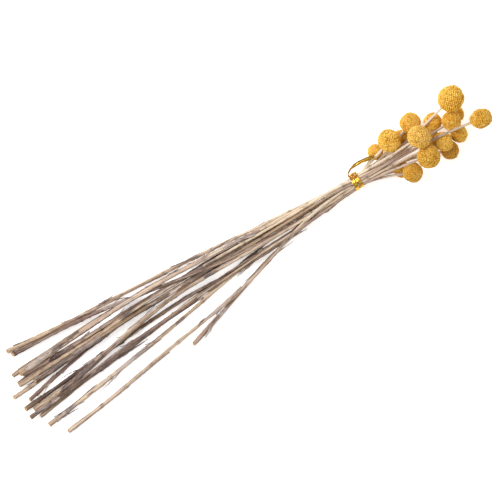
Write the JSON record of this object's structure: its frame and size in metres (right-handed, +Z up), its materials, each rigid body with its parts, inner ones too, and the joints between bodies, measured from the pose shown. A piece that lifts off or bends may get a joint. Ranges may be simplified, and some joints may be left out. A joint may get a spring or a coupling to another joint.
{
  "type": "bunch of dried billy buttons",
  "caption": "Tied bunch of dried billy buttons lying down: thin straight stems with withered leaf remnants, round yellow flower heads and a gold twist tie below them.",
  "frame": {"origin": "middle of the footprint, on the surface that the bunch lies on", "axes": "+X along the bunch from the cut ends to the flower heads, +Z up"},
  "size_m": [0.5132, 0.0964, 0.0524],
  "materials": {
    "stem": "dry, finely ribbed",
    "head": "soft, granular",
    "tie": "metallic foil"
  },
  "bodies": {
    "root": {"stem_01": "stem", "head_01": "head", "stem_02": "stem", "head_02": "head", "stem_03": "stem", "head_03": "head", "stem_04": "stem", "head_04": "head", "stem_05": "stem", "head_05": "head", "stem_06": "stem", "head_06": "head", "stem_07": "stem", "head_07": "head", "stem_08": "stem", "head_08": "head", "stem_09": "stem", "head_09": "head", "stem_10": "stem", "head_10": "head", "stem_11": "stem", "head_11": "head", "stem_12": "stem", "head_12": "head", "stem_13": "stem", "head_13": "head", "stem_14": "stem", "head_14": "head", "stem_15": "stem", "head_15": "head", "stem_16": "stem", "head_16": "head", "stem_17": "stem", "head_17": "head", "twist_tie": "tie"}
  },
  "joints": []
}
